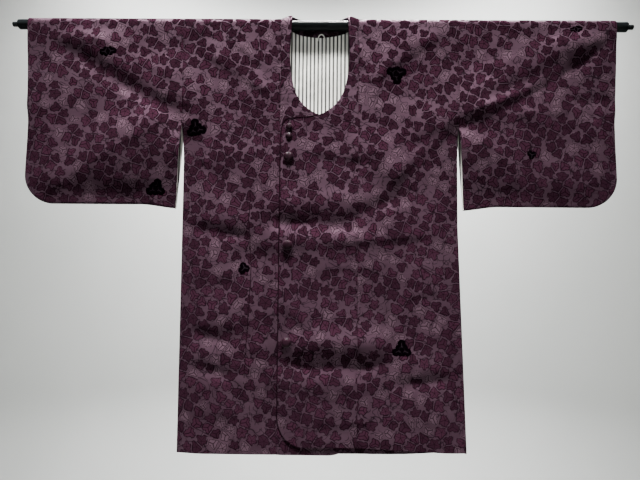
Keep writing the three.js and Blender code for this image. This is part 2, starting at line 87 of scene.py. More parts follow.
# Columns: x, down
NECK_EDGE = [
    (63, 0), (67, 70), (64, 112), (56, 150), (39, 181), (19, 198), (0, 207),
    (-34, 212), (-66, 215), (-78, 223), (-84, 240), (-86, 262),
]
# Columns: x, back, up
CREST = [(0, 13.65, 11), (22, 13, 12.5), (45, 10.5, 18), (63, 4, 22), (88, 0, 13.65), (900, 0, 13.65)]
# Columns: x, length down the cloth
COLLAR_SEAM = [(0, 45), (30, 42), (55, 35), (70, 25), (78, 17), (82, 12), (86, 5), (88, 0), (900, 0)]
LINING = dict(half_width=180, top=6, bottom=340)
LOOP = dict(x=3, half_width=8, foot=31, height=15, radius=1.1)
LARGE_BUTTON = dict(radius=11, height=7.4, downs=(301, 495, 704))
SMALL_BUTTON = dict(radius=7.6, height=6, downs=(234, 255))

# Columns: x, down, tilt, length, width, rise
FRONT_FOLDS = [
    (-454, 124, -32, 310, 19, -5), (-470, 72, -32, 240, 24, 2.5), (-420, 248, 26, 190, 24, 5),
    (-385, 335, 12, 190, 40, -3.5), (483, 118, 25, 350, 19, -5), (500, 66, 25, 260, 24, 2.5),
    (430, 205, -8, 210, 22, 4), (385, 335, -6, 150, 44, -4), (598, 172, 0, 110, 14, -3),
    (256, 258, 23, 130, 17, -4), (-10, 398, 4, 230, 22, 3), (-25, 444, 0, 170, 16, -4.5),
    (112, 418, 26, 150, 16, -5), (20, 483, 0, 240, 20, 3), (-228, 465, -6, 170, 15, -4),
    (-125, 520, 0, 110, 26, -3), (-228, 694, -4, 170, 18, -3.5), (-200, 772, -5, 160, 16, -3),
    (40, 704, 0, 230, 22, 4), (40, 750, 0, 230, 18, -5.5), (40, 798, 0, 200, 24, 3),
    (250, 782, 5, 160, 17, -4),
]
BACK_FOLDS = [
    (-460, 130, -28, 300, 20, -4.5), (-410, 330, 10, 200, 42, -3), (470, 126, 27, 320, 20, -4.5),
    (400, 320, -8, 190, 40, -3.5), (30, 396, -3, 420, 24, 3), (60, 440, -4, 380, 20, -4),
    (-190, 462, 5, 200, 18, -3), (-60, 700, 3, 360, 24, 3), (-80, 748, 3, 340, 20, -4.5),
    (200, 770, -5, 200, 19, -3.5),
]

# ---- finer creases, only in the looks
# Towards a crease the cloth comes forward by `step` from its upper (or, on an upright crease, its +X)
# side, and falls back in over twice the width.
# Columns: step, width, points (x, down)
FRONT_CREASES = [
    (3.8, 17, [(-660, 10), (-546, 70), (-466, 124), (-398, 155), (-342, 176), (-220, 210)]),
    (1.8, 9, [(-560, 14), (-470, 58), (-390, 100), (-300, 148)]),
    (2.4, 12, [(-500, 392), (-440, 374), (-380, 362), (-316, 352)]),
    (2.6, 10, [(-290, 52), (-188, 118), (-90, 180)]),
    (1.6, 8, [(-210, 40), (-150, 78), (-105, 120)]),
    (4.6, 12, [(98, 155), (189, 84), (284, 20)]),
    (1.6, 8, [(96, 186), (167, 128), (244, 76)]),
    (10.0, 13, [(262, 240), (354, 199), (420, 176), (497, 131), (564, 86), (652, 14)]),
    (1.8, 9, [(330, 120), (420, 92), (500, 52)]),
    (5.8, 14, [(150, 382), (211, 312), (254, 274), (318, 232)]),
    (2.2, 9, [(420, 216), (470, 206), (556, 202)]),
    (-1.4, 9, [(560, 120), (590, 168), (598, 230)]),
    (3.7, 16, [(-112, 432), (-30, 448), (26, 454), (113, 438), (176, 384)]),
    (2.4, 10, [(8, 498), (75, 491), (135, 486), (210, 479), (296, 466)]),
    (2.5, 12, [(-300, 457), (-260, 463), (-225, 473), (-171, 461), (-128, 497), (-102, 550)]),
    (3.0, 12, [(-98, 606), (-37, 666), (12, 722)]),
    (4.2, 18, [(-82, 724), (-20, 742), (28, 753), (71, 756), (166, 728)]),
    (2.6, 14, [(-290, 680), (-221, 688), (-177, 707), (-144, 731), (-86, 728)]),
    (2.2, 11, [(-290, 742), (-236, 752), (-190, 775), (-150, 810)]),
    (3.4, 12, [(154, 788), (230, 784), (310, 774)]),
    (-2.4, 11, [(152, 530), (148, 640), (153, 720), (151, 830)]),
    (2.4, 11, [(-280, 302), (-250, 318), (-214, 350)]),
    (2.8, 12, [(-30, 290), (20, 302), (57, 310), (110, 305), (166, 288)]),
    (2.0, 11, [(-24, 560), (40, 546), (110, 553), (166, 533)]),
    (1.9, 10, [(180, 613), (240, 599), (312, 607)]),
    (2.4, 13, [(-282, 562), (-225, 575), (-170, 566)]),
    (-2.2, 13, [(296, 510), (292, 590), (298, 674)]),
    (2.4, 15, [(-20, 875), (50, 888), (122, 870)]),
    (2.4, 14, [(166, 864), (230, 884), (300, 868)]),
    (-2.2, 14, [(-118, 790), (-122, 850), (-112, 916)]),
    (2.2, 14, [(-282, 854), (-215, 866), (-154, 850)]),
]
BACK_CREASES = [
    (5.6, 13, [(-655, 14), (-545, 74), (-462, 124), (-390, 152), (-302, 178)]),
    (1.8, 9, [(-540, 22), (-452, 66), (-360, 112)]),
    (5.6, 13, [(306, 218), (398, 178), (470, 134), (560, 86), (650, 16)]),
    (1.8, 9, [(350, 108), (440, 76), (520, 40)]),
    (2.2, 10, [(-268, 62), (-190, 104), (-120, 130), (-30, 140)]),
    (2.2, 10, [(44, 142), (120, 124), (196, 92), (280, 44)]),
    (3.8, 12, [(-312, 226), (-252, 266), (-206, 308), (-158, 368)]),
    (4.2, 13, [(158, 360), (214, 302), (262, 260), (312, 230)]),
    (6.2, 16, [(-206, 418), (-90, 438), (10, 448), (120, 440), (240, 408)]),
    (3.0, 11, [(-302, 470), (-220, 463), (-130, 482)]),
    (2.3, 11, [(46, 503), (150, 495), (284, 478)]),
    (-2.3, 12, [(2, 500), (-4, 600), (3, 710)]),
    (7.2, 18, [(-236, 742), (-120, 756), (-30, 760), (110, 738)]),
    (3.4, 12, [(106, 782), (200, 772), (304, 776)]),
    (2.1, 12, [(-292, 640), (-200, 653), (-96, 636)]),
    (2.4, 14, [(-74, 875), (40, 888), (168, 868)]),
    (2.2, 14, [(-292, 848), (-200, 866), (-116, 852)]),
]
# Where a sleeve hangs free its lower inner part leans in, from a ridge down to the folded edge.
# Columns: x, down
SLEEVE_RIDGES = {
    FRONT: [
        [
            (-680, 462), (-610, 396), (-558, 356), (-504, 318), (-461, 288), (-395, 250), (-330, 222),
            (-240, 190),
        ],
        [(250, 236), (320, 248), (362, 268), (404, 296), (436, 340), (456, 386), (466, 440)],
    ],
    BACK: [
        [(-670, 450), (-590, 378), (-520, 330), (-450, 286), (-380, 248), (-300, 218)],
        [(250, 226), (330, 240), (400, 276), (468, 322), (540, 372), (600, 440)],
    ],
}
SLEEVE_LEAN = {FRONT: 0.15, BACK: 0.09}
# Beside the armhole's end the lean is `less` by that share, over `width`, and starts below the sewn part.
LEAN_AT_BODY = dict(less=0.35, width=90, sewn_width=62, sewn_end=75)
LEAN_RISE = 150
# The under front's upright crease, where its cloth is folded in along an uneven line. Faces closer to it
# than `shaded` take painted shade, a dark line that stands in for the crease's shadow.
TUCK = dict(
    step=-2.2, width=6, taken=5.0, shaded=0.8, near=139.0, far=163.0,
    points=[(-147, 374), (-152, 430), (-149, 484), (-145, 560), (-149, 640), (-153, 710), (-157, 786)],
)


def smooth(value, low, high):
    share = np.clip((value - low) / (high - low), 0.0, 1.0)
    return share * share * (3 - 2 * share)


def unit(vector):
    return vector / np.linalg.norm(vector, axis=-1, keepdims=True)


def between(value, rise_start, rise_end, fall_start, fall_end):
    return smooth(value, rise_start, rise_end) * (1 - smooth(value, fall_start, fall_end))


def bell(value, width):
    return np.exp(-((value / width) ** 2))


def curve(table, column, at):
    """A smooth line through a table's rows that never overshoots them (monotone cubic)."""
    rows = np.array(table, float)
    x, y = rows[:, 0], rows[:, column]
    width = np.diff(x)
    slope = np.diff(y) / width
    tangent = np.zeros_like(y)
    same = slope[:-1] * slope[1:] > 0
    tangent[1:-1][same] = 2 * slope[:-1][same] * slope[1:][same] / (slope[:-1] + slope[1:])[same]
    place = np.clip(np.searchsorted(x, at) - 1, 0, len(x) - 2)
    t = np.clip((at - x[place]) / width[place], 0, 1)
    h = width[place]
    return (
        (1 + 2 * t) * (1 - t) ** 2 * y[place]
        + t * (1 - t) ** 2 * h * tangent[place]
        + t * t * (3 - 2 * t) * y[place + 1]
        + t * t * (t - 1) * h * tangent[place + 1]
    )


def fold_sum(folds, x, down):
    total = np.zeros_like(x)
    for fx, fdown, tilt, length, width, rise in folds:
        c, s = math.cos(math.radians(tilt)), math.sin(math.radians(tilt))
        right, up = x - fx, fdown - down
        along, across = right * c + up * s, up * c - right * s
        total += rise * np.exp(-((across / width) ** 2) - (2 * along / length) ** 4)
    return total


def rounded_line(points):
    """The points with their corners cut twice."""
    line = np.array(points, float)
    for _ in range(2):
        a, b = line[:-1], line[1:]
        cut = np.empty((2 * len(a), 2))
        cut[0::2], cut[1::2] = 0.75 * a + 0.25 * b, 0.25 * a + 0.75 * b
        line = np.vstack([line[:1], cut, line[-1:]])
    return line


def beside(points, x, down):
    """Signed distance from a line, positive on its upper or +X side, and the share of its length passed."""
    line = rounded_line(points)
    a, b = line[:-1], line[1:]
    lengths = np.hypot(*(b - a).T)
    passed = np.concatenate([[0], np.cumsum(lengths)])
    nearest = np.full(x.shape, 1e9)
    signed, share = np.zeros_like(x), np.zeros_like(x)
    for i in range(len(a)):
        d = (b[i] - a[i]) / lengths[i]
        px, pd = x - a[i, 0], down - a[i, 1]
        raw = px * d[0] + pd * d[1]
        along = np.clip(raw, 0, lengths[i])
        side = px * d[1] - pd * d[0]
        distance = np.hypot(px - along * d[0], pd - along * d[1])
        take = distance < nearest
        nearest = np.where(take, distance, nearest)
        signed = np.where(take, np.sign(side) * distance, signed)
        share = np.where(take, (passed[i] + raw) / passed[-1], share)
    return signed, share


def crease(step, width, points, x, down):
    """Cloth that comes forward little by little towards the line and falls back in across it."""
    reach = min(9 * width, 150)
    left, top = np.min(points, axis=0) - reach
    right, bottom = np.max(points, axis=0) + reach
    near = (x > left) & (x < right) & (down > top) & (down < bottom)
    out = np.zeros_like(x)
    if not near.any():
        return out
    signed, share = beside(points, x[near], down[near])
    ends = between(share, -0.02, 0.24, 0.76, 1.02)
    uneven = 1 + 0.2 * np.sin(share * 11 + points[0][0])
    out[near] = step * between(signed, -width, width, 0.4 * width, reach) * ends * uneven
    return out


def ripple_set(seed, count, short, long, height):
    rng = np.random.default_rng(seed)
    angle = rng.uniform(0, math.pi, count)
    wave = rng.uniform(short, long, count)
    return np.stack([
        2 * math.pi * np.cos(angle) / wave,
        2 * math.pi * np.sin(angle) / wave,
        rng.uniform(0, 2 * math.pi, count),
        np.full(count, height * math.sqrt(2 / count)),
    ], 1)


RIPPLES = {
    FRONT: np.vstack([ripple_set(3, 14, 70, 210, 0.5), ripple_set(4, 14, 20, 45, 0.12)]),
    BACK: np.vstack([ripple_set(5, 14, 70, 210, 0.6), ripple_set(6, 14, 20, 45, 0.12)]),
}


def ripples(side, x, down):
    total = np.zeros_like(x)
    for kx, kd, phase, height in RIPPLES[side]:
        total += height * np.sin(kx * x + kd * down + phase)
    return total


def side_seam(sign, down):
    h = SIDES[sign]
    eased = smooth(down, ARMHOLE_DEPTH, ARMHOLE_DEPTH + SIDE_EASE)
    flared = np.clip((down - FLARE_START) / (LENGTH - FLARE_START), 0, 1)
    return h["armhole"] + (h["waist"] - h["armhole"]) * eased + (h["hem"] - h["waist"]) * flared


def sleeve_inner(sign, down):
    drop = (down - ARMHOLE_DEPTH) / (SLEEVE_BOTTOM["body"] - ARMHOLE_DEPTH)
    return SIDES[sign]["armhole"] + SIDES[sign]["drift"] * np.clip(drop, 0, 1)


def cuff_edge(sign, down):
    return SIDES[sign]["cuff"] + CUFF_SWAY * np.cos(math.pi * down / CUFF_SWAY_HEIGHT)


def sleeve_bottom(sign, across):
    droop = smooth(SIDES[sign]["armhole"] + SLEEVE_BOTTOM["droop"] - across, 0, SLEEVE_BOTTOM["droop"])
    return SLEEVE_BOTTOM["cuff"] + (SLEEVE_BOTTOM["body"] - SLEEVE_BOTTOM["cuff"]) * droop


def inside_sleeve(sign, across, down):
    cuff = cuff_edge(sign, down) - across
    bottom = sleeve_bottom(sign, across) - down
    rounded = SLEEVE_CORNER_RADIUS - np.hypot(SLEEVE_CORNER_RADIUS - cuff, SLEEVE_CORNER_RADIUS - bottom)
    plain = (cuff > SLEEVE_CORNER_RADIUS) | (bottom > SLEEVE_CORNER_RADIUS)
    return np.where(plain, np.minimum(cuff, bottom), rounded)


def round_corner(across, down, edge, bottom, radius):
    right, below = (across - edge + radius) / radius, (down - bottom + radius) / radius
    both = (right > 0) & (below > 0)
    r = np.where(both, right * np.sqrt(np.clip(1 - below**2 / 2, 0, 1)), right)
    b = np.where(both, below * np.sqrt(np.clip(1 - right**2 / 2, 0, 1)), below)
    return edge - radius + r * radius, bottom - radius + b * radius


def seam_dip(distance, depth=0.9, width=2.6):
    return -depth * bell(distance, width)


def puckers(distance, along, height=0.35):
    """Small gathers that run into a seam."""
    wave = np.sin(along * 0.52 + 1.3 * np.sin(along * 0.083)) + 0.6 * np.sin(along * 0.31 + 2)
    return height * wave * bell(distance, 9)


def sewn_line(distance, down):
    return (seam_dip(distance) + puckers(distance, down)) * smooth(down, 0, 30)


def by_side(x, at):
    return np.where(x < 0, at(-1), at(1))


def half_depth(kind, side, x, down, over=False):
    """From the middle plane to the outer face of the cloth. kind is body or sleeve."""
    across = np.abs(x)
    fade = smooth(down, 0, FOLD_FADE)
    rest = HALF_DEPTH + (CREST_RADIUS - HALF_DEPTH) * bell(down, DEPTH_FALL)
    folds, creases = (FRONT_FOLDS, FRONT_CREASES) if side == FRONT else (BACK_FOLDS, BACK_CREASES)
    depth = np.maximum(LEAST_HALF_DEPTH, rest + fold_sum(folds, x, down) * fade)
    fine = ripples(side, x, down)
    for step, width, points in creases:
        fine = fine + crease(step, width, points, x, down)
    if side == FRONT and not over:
        fine = fine + crease(TUCK["step"], TUCK["width"], TUCK["points"], x, down)
    armhole = 1 - smooth(down, ARMHOLE_DEPTH - 10, ARMHOLE_DEPTH + 20)
    if kind == "body":
        depth = depth + fine * fade
        inside = np.maximum(0, by_side(x, lambda sign: side_seam(sign, down)) - across)
        shut = thinner = smooth(down, ARMHOLE_DEPTH, ARMHOLE_DEPTH + CLOSE_HEIGHT)
        depth = depth + (seam_dip(inside) + puckers(inside, down, 0.25)) * armhole * fade
    else:
        inside = np.maximum(0, by_side(x, lambda sign: inside_sleeve(sign, across, down)))
        shut = smooth(down, CUFF_DEPTH, CUFF_DEPTH + CLOSE_HEIGHT)
        thinner = smooth(down, CUFF_DEPTH - 20, CUFF_DEPTH + 120)
        inner = across - by_side(x, lambda sign: sleeve_inner(sign, down))
        sewn = 1 - smooth(down, ARMHOLE_DEPTH, ARMHOLE_DEPTH + LEAN_AT_BODY["sewn_end"])
        sewn = sewn * bell(inner, LEAN_AT_BODY["sewn_width"])
        lean = SLEEVE_LEAN[side] * (1 - LEAN_AT_BODY["less"] * bell(inner, LEAN_AT_BODY["width"]))
        for ridge in SLEEVE_RIDGES[side]:
            above, share = beside(ridge, x, down)
            leaning = EDGE_RADIUS + lean * (inside - np.maximum(0, above))
            ends = between(share, 0, 0.15, 0.85, 1) * (1 - sewn) * fade
            rise = (1 - np.clip(above / LEAN_RISE, 0, 1)) ** 2
            moved = np.where(above > 0, np.maximum(0, leaning - depth), leaning - depth)
            depth = depth + moved * rise * ends
        depth = depth + fine * fade
        depth = depth + (seam_dip(inner) + puckers(inner, down, 0.25)) * armhole * fade
    ease = smooth(inside, 0, EDGE_REACH)
    depth = depth + (EDGE_RADIUS - depth) * thinner * (1 - ease)
    rounding = np.clip(1 - inside / EDGE_RADIUS, 0, 1)
    return depth * (1 - shut * (1 - np.sqrt(1 - rounding**2)))


def overlap_rise(x, down):
    across = 1 - smooth(x, OVERLAP["full"], OVERLAP["none"])
    return OVERLAP["rise"] * across * smooth(down, OVERLAP["start"], OVERLAP["end"])


def surface(kind, side, x, q, extra=None, over=False):
    """Outer face of the cloth at x across and q down it from the shoulder line, as an array of points."""
    x, q = np.asarray(x, float), np.asarray(q, float)
    down = np.maximum(0, q - OVER_ROD)
    depth = half_depth(kind, side, x, down, over)
    if over:
        depth = depth + overlap_rise(x, down)
    if extra is not None:
        depth = depth + extra(x, down)
    back, up = curve(CREST, 1, np.abs(x)), curve(CREST, 2, np.abs(x))
    share = np.clip(q / OVER_ROD, 0, 1)
    bend = np.clip((np.abs(x) - COLLAR_X) / (PEAK_X - COLLAR_X), 0, 1) if side == BACK else np.ones_like(x)
    angle = share * math.pi / 2
    y = back + (side * depth - back) * ((1 - bend) * share + bend * np.sin(angle))
    z = up * ((1 - bend) * (1 - share) + bend * np.cos(angle))
    low = q >= OVER_ROD
    return np.stack([x, np.where(low, side * depth, y), np.where(low, -down, z)], -1)


# ---- materials
class Graph:
    """A node material, written as expressions."""

    def __init__(self, name):
        self.material = bpy.data.materials.new(name)
        self.material.use_nodes = True
        self.tree = self.material.node_tree
        self.tree.nodes.clear()

    def node(self, kind, inputs=None, **settings):
        made = self.tree.nodes.new("ShaderNode" + kind)
        for key, value in settings.items():
            setattr(made, key, value)
        for key, value in (inputs or {}).items():
            self.plug(made.inputs[key], value)
        return made

    def plug(self, socket, value):
        if isinstance(value, bpy.types.NodeSocket):
            self.tree.links.new(value, socket)
        else:
            socket.default_value = value

    def math(self, operation, *values):
        return self.node("Math", dict(enumerate(values)), operation=operation).outputs[0]

    def vector(self, operation, *values):
        return self.node("VectorMath", dict(enumerate(values)), operation=operation).outputs["Vector"]

    def times(self, a, b):
        return self.math("MULTIPLY", a, b)

    def plus(self, a, b):
        return self.math("ADD", a, b)

    def minus(self, a, b):
        return self.math("SUBTRACT", a, b)

    def times_plus(self, a, b, c):
        return self.math("MULTIPLY_ADD", a, b, c)

    def absolute(self, value):
        return self.math("ABSOLUTE", value)

    def sine(self, value):
        return self.math("SINE", value)

    def wave(self, place, length):
        """The sine that repeats at every length."""
        return self.sine(self.times(place, 2 * math.pi / length))

    def turn(self, vector, angle):
        made = self.node("VectorRotate", {"Vector": vector, "Angle": angle}, rotation_type="Z_AXIS")
        return made.outputs["Vector"]

    def mix(self, factor, a, b):
        return self.node("Mix", {"Factor": factor, "A": a, "B": b}, data_type="RGBA").outputs["Result"]

    def ramp(self, value, low, high, start=0.0, end=1.0):
        """value mapped smoothly from low..high to start..end."""
        inputs = {"Value": value, "From Min": low, "From Max": high, "To Min": start, "To Max": end}
        return self.node("MapRange", inputs, interpolation_type="SMOOTHSTEP").outputs["Result"]

    def noise(self, vector, scale, detail=2.0, roughness=0.5):
        inputs = {"Vector": vector, "Scale": scale, "Detail": detail, "Roughness": roughness}
        return self.node("TexNoise", inputs).outputs["Fac"]

    def uv(self):
        return self.node("UVMap", uv_map="Cloth").outputs["UV"]

    def split(self, vector):
        made = self.node("SeparateXYZ", {"Vector": vector})
        return made.outputs["X"], made.outputs["Y"]

    def finish(self, color, roughness, bump=None, bump_mm=0.2, **sockets):
        inputs = {"Base Color": color, "Roughness": roughness}
        inputs.update({key.replace("_", " "): value for key, value in sockets.items()})
        if bump is not None:
            raised = {"Height": bump, "Strength": 1.0, "Distance": bump_mm * MM}
            inputs["Normal"] = self.node("Bump", raised).outputs["Normal"]
        shader = self.node("BsdfPrincipled", inputs)
        self.plug(self.node("OutputMaterial").inputs["Surface"], shader.outputs["BSDF"])
        return self.material


def rgb(r, g, b):
    """sRGB from 0 to 255, as linear colour."""
    linear = [c / 255 / 12.92 if c <= 10 else ((c / 255 + 0.055) / 1.055) ** 2.4 for c in (r, g, b)]
    return (*linear, 1.0)


GROUND, GROUND_WORN, PALE = rgb(65, 48, 58), rgb(59, 42, 52), rgb(75, 57, 67)
LEAF, EDGE, RIB = rgb(35, 18, 27), rgb(11, 3, 8), rgb(45, 24, 35)
LEAF_CELL = 24.5
LEAF_RADIUS = 14.0
LEAF_TURN = 0.43
LEAF_GAP = 0.9


def leaf_layer(g, uv):
    """Leaves side by side, one to a cell, each with three or five lobes, turned and sized by chance.

    Gives how far a point lies inside its leaf's outline and how far from the leaf's ribs, both in
    millimetres, and a chance of the leaf's own."""
    place = g.node("VectorMath", {0: uv, "Scale": 1000 / LEAF_CELL}, operation="SCALE").outputs["Vector"]
    spread_out = {"Vector": place, "Scale": 1.0, "Randomness": 0.55}
    cells = g.node("TexVoronoi", spread_out, voronoi_dimensions="2D", feature="F1")
    borders = g.node("TexVoronoi", spread_out, voronoi_dimensions="2D", feature="DISTANCE_TO_EDGE")
    chance = g.node("SeparateColor", {"Color": cells.outputs["Color"]})
    local = g.vector("SUBTRACT", place, cells.outputs["Position"])
    spin = g.times(chance.outputs["Red"], 6.283)
    x, y = g.split(g.turn(local, spin))
    x = g.plus(x, 0.04)
    r = g.math("SQRT", g.plus(g.times(x, x), g.times(y, y)))
    angle = g.math("ARCTAN2", y, x)
    five = g.math("GREATER_THAN", g.math("FRACT", g.times(chance.outputs["Green"], 7.0)), 0.55)
    turns = g.times(angle, g.plus(five, 1.5))
    across = g.absolute(g.sine(turns))
    rounded = g.math("POWER", g.absolute(g.math("COSINE", turns)), 0.55)
    pointed = g.times_plus(g.math("ARCSINE", across), -2 / math.pi, 1.0)
    lobes = g.times_plus(rounded, 0.2, g.times(pointed, 0.8))
    teeth = g.times_plus(g.absolute(g.sine(g.times(angle, 7.5))), 0.12, 0.92)
    tip = g.times_plus(g.math("COSINE", angle), 0.14, 1.0)
    waist = g.times_plus(five, 0.06, 0.54)
    outline = g.times(g.times_plus(lobes, 0.54, waist), g.times(tip, teeth))
    size = g.times_plus(chance.outputs["Green"], 0.32, 0.82)
    outline = g.times(outline, g.times(size, LEAF_RADIUS / LEAF_CELL))
    inside = g.times(g.minus(outline, r), LEAF_CELL)
    room = g.times_plus(borders.outputs["Distance"], LEAF_CELL, -LEAF_GAP)
    rib = g.times(g.times(across, r), LEAF_CELL)
    return g.math("SMOOTH_MIN", inside, room, 1.6), rib, chance.outputs["Blue"]


def leaf_silk(name):
    """Plum silk: a satin ground that catches the light, with duller woven ivy leaves and stems."""
    g = Graph(name)
    uv = g.uv()
    wobble = g.node("TexNoise", {"Vector": uv, "Scale": 70.0, "Detail": 1.0}).outputs["Color"]
    shifted = g.vector("SUBTRACT", wobble, (0.5, 0.5, 0.5))
    bent = g.turn(g.vector("MULTIPLY_ADD", shifted, (0.004, 0.004, 0.0), uv), LEAF_TURN)
    color = g.mix(g.ramp(g.noise(uv, 9.0, 2.0), 0.3, 0.7), GROUND, GROUND_WORN)
    # stems: uneven loops and arcs
    loops = g.absolute(g.minus(g.noise(bent, 40.0, 0.0), 0.5))
    curls = g.absolute(g.minus(g.noise(bent, 75.0, 0.0), 0.52))
    stem = g.math("MAXIMUM", g.ramp(loops, 0.008, 0.022, 1.0, 0.0), g.ramp(curls, 0.014, 0.034, 1.0, 0.0))
    stem = g.times(stem, g.ramp(g.noise(uv, 42.0, 1.0), 0.4, 0.5))
    color = g.mix(g.times(stem, 0.85), color, EDGE)
    # leaves: most filled, some only drawn in lines on the pale ground
    inside, rib, kind = leaf_layer(g, bent)
    drawn = g.math("LESS_THAN", kind, 0.14)
    body = g.times(g.ramp(inside, -0.25, 0.25), g.math("LESS_THAN", kind, 0.97))
    ribs = g.times(g.ramp(rib, 0.9, 1.8, 1.0, 0.0), g.ramp(inside, 1.2, 2.2))
    line = g.ramp(g.absolute(g.minus(inside, 1.7)), 0.5, 1.0, 1.0, 0.0)
    flesh = g.mix(g.ramp(kind, 0.5, 0.52), RIB, LEAF)
    filled = g.mix(g.ramp(inside, 1.4, 2.4), EDGE, flesh)
    filled = g.mix(g.times(ribs, 0.9), filled, EDGE)
    lined = g.mix(g.times(g.math("MAXIMUM", line, ribs), 0.85), PALE, EDGE)
    color = g.mix(body, color, g.mix(drawn, filled, lined))
    cover = g.times(body, g.times_plus(drawn, -0.7, 1.0))
    height = g.math("MAXIMUM", g.times(stem, 0.2), g.times(cover, g.times_plus(ribs, -0.4, 0.95)))
    # threads
    u, v = g.split(uv)
    weft, warp = g.wave(v, 0.0007), g.wave(u, 0.0009)
    thread = g.plus(g.times(weft, g.minus(1.0, cover)), g.times(warp, cover))
    slub = g.noise(g.vector("MULTIPLY", uv, (60.0, 1400.0, 0.0)), 1.0, 2.0)
    color = g.mix(g.ramp(slub, 0.25, 0.8, 0.0, 0.16), color, LEAF)
    height = g.plus(height, g.times_plus(thread, 0.12, g.times(slub, 0.25)))
    roughness = g.ramp(cover, 0.0, 1.0, 0.52, 0.72)
    satin = g.ramp(cover, 0.0, 0.9, 0.6, 0.0)
    return g.finish(color, roughness, height, 0.14, Metallic=satin, Specular_IOR_Level=0.0)


STRIPE = 8.6


def striped_silk(name):
    """White lining silk with thin dark stripes, each with a soft grey band beside it."""
    g = Graph(name)
    uv = g.uv()
    u, v = g.split(uv)
    sway = g.times(g.minus(g.noise(uv, 14.0, 1.0), 0.5), 0.0006)
    place = g.math("FRACT", g.times(g.plus(u, sway), 1000 / STRIPE))
    from_line = g.times(g.minus(place, 0.5), STRIPE)
    line = g.ramp(g.absolute(from_line), 1.4, 2.2, 1.0, 0.0)
    band = g.times(g.ramp(from_line, 0.3, 3.2, 1.0, 0.0), g.math("GREATER_THAN", place, 0.5))
    slub = g.noise(g.vector("MULTIPLY", uv, (1500.0, 40.0, 0.0)), 1.0, 2.0)
    color = g.mix(g.ramp(g.noise(uv, 22.0, 3.0), 0.3, 0.75), rgb(250, 248, 242), rgb(234, 233, 226))
    color = g.mix(g.ramp(slub, 0.3, 0.8, 0.0, 0.22), color, rgb(170, 168, 162))
    color = g.mix(g.times(band, 0.8), color, rgb(108, 106, 104))
    color = g.mix(g.times(line, 0.97), color, rgb(14, 12, 14))
    height = g.times_plus(g.plus(g.wave(u, 0.0006), g.wave(v, 0.0006)), 0.2, slub)
    return g.finish(color, 0.5, height, 0.07, Sheen_Weight=0.15, Specular_IOR_Level=0.4)


def plain_cloth(name, color, pale, roughness, thread=0.0007, specular=0.4):
    g = Graph(name)
    uv = g.uv()
    u, v = g.split(uv)
    weft, warp = g.wave(v, thread), g.wave(u, thread)
    cloud = g.noise(uv, 160.0, 3.0)
    shade = g.mix(g.ramp(cloud, 0.3, 0.75), color, pale)
    height = g.times_plus(g.times(weft, warp), 0.5, cloud)
    return g.finish(shade, roughness, height, 0.08, Specular_IOR_Level=specular)


def ribbed_leaf(name):
    """Black thread with thin grey ribs. The cloth's coordinates here are a leaf's own, from its middle."""
    g = Graph(name)
    uv = g.uv()
    u, v = g.split(uv)
    r = g.math("SQRT", g.plus(g.times(u, u), g.times(v, v)))
    across = g.absolute(g.sine(g.times(g.math("ARCTAN2", v, u), 1.5)))
    rib = g.times(g.times(across, r), 1000.0)
    rib = g.times(g.ramp(rib, 0.3, 0.8, 1.0, 0.0), g.ramp(r, 0.0065, 0.0095, 1.0, 0.0))
    cloud = g.noise(uv, 300.0, 3.0)
    color = g.mix(g.ramp(cloud, 0.3, 0.75), rgb(1, 0, 1), rgb(5, 2, 4))
    color = g.mix(g.times(rib, 0.8), color, rgb(46, 38, 44))
    return g.finish(color, 0.8, g.plus(cloud, rib), 0.1, Specular_IOR_Level=0.0)


def black_gloss(name):
    g = Graph(name)
    place = g.node("TexCoord").outputs["Object"]
    worn = g.noise(g.vector("MULTIPLY", place, (6.0, 40.0, 40.0)), 8.0, 4.0, 0.6)
    roughness = g.ramp(worn, 0.35, 0.75, 0.16, 0.26)
    color = g.mix(g.ramp(worn, 0.55, 0.8, 0.0, 0.5), rgb(16, 19, 20), rgb(34, 38, 38))
    return g.finish(color, roughness, g.noise(place, 260.0, 2.0), 0.02, Specular_IOR_Level=0.05)


SILK = leaf_silk("leaf_jacquard")
LINING_SILK = striped_silk("striped_lining")
# painted shade: a near-black plain cloth put on thin strips of faces, standing in for the shadow along the
# over front's free edge and in the under front's tuck line
PAINTED_SHADE_SILK = plain_cloth("painted_edge_shade", rgb(14, 5, 10), rgb(22, 9, 16), 0.8, 0.0007, 0.0)
BUTTON_SILK = plain_cloth("button_cloth", rgb(20, 7, 14), rgb(33, 15, 24), 0.36, 0.0007, 0.07)
MOTIF_SILK = ribbed_leaf("black_leaf")
CORD_WHITE = plain_cloth("white_cord", rgb(238, 236, 230), rgb(214, 210, 204), 0.75)
GLOSS = black_gloss("black_gloss")


# ---- meshes
def new_object(name, data):
    made = bpy.data.objects.new(name, data)
    bpy.context.scene.collection.objects.link(made)
    return made


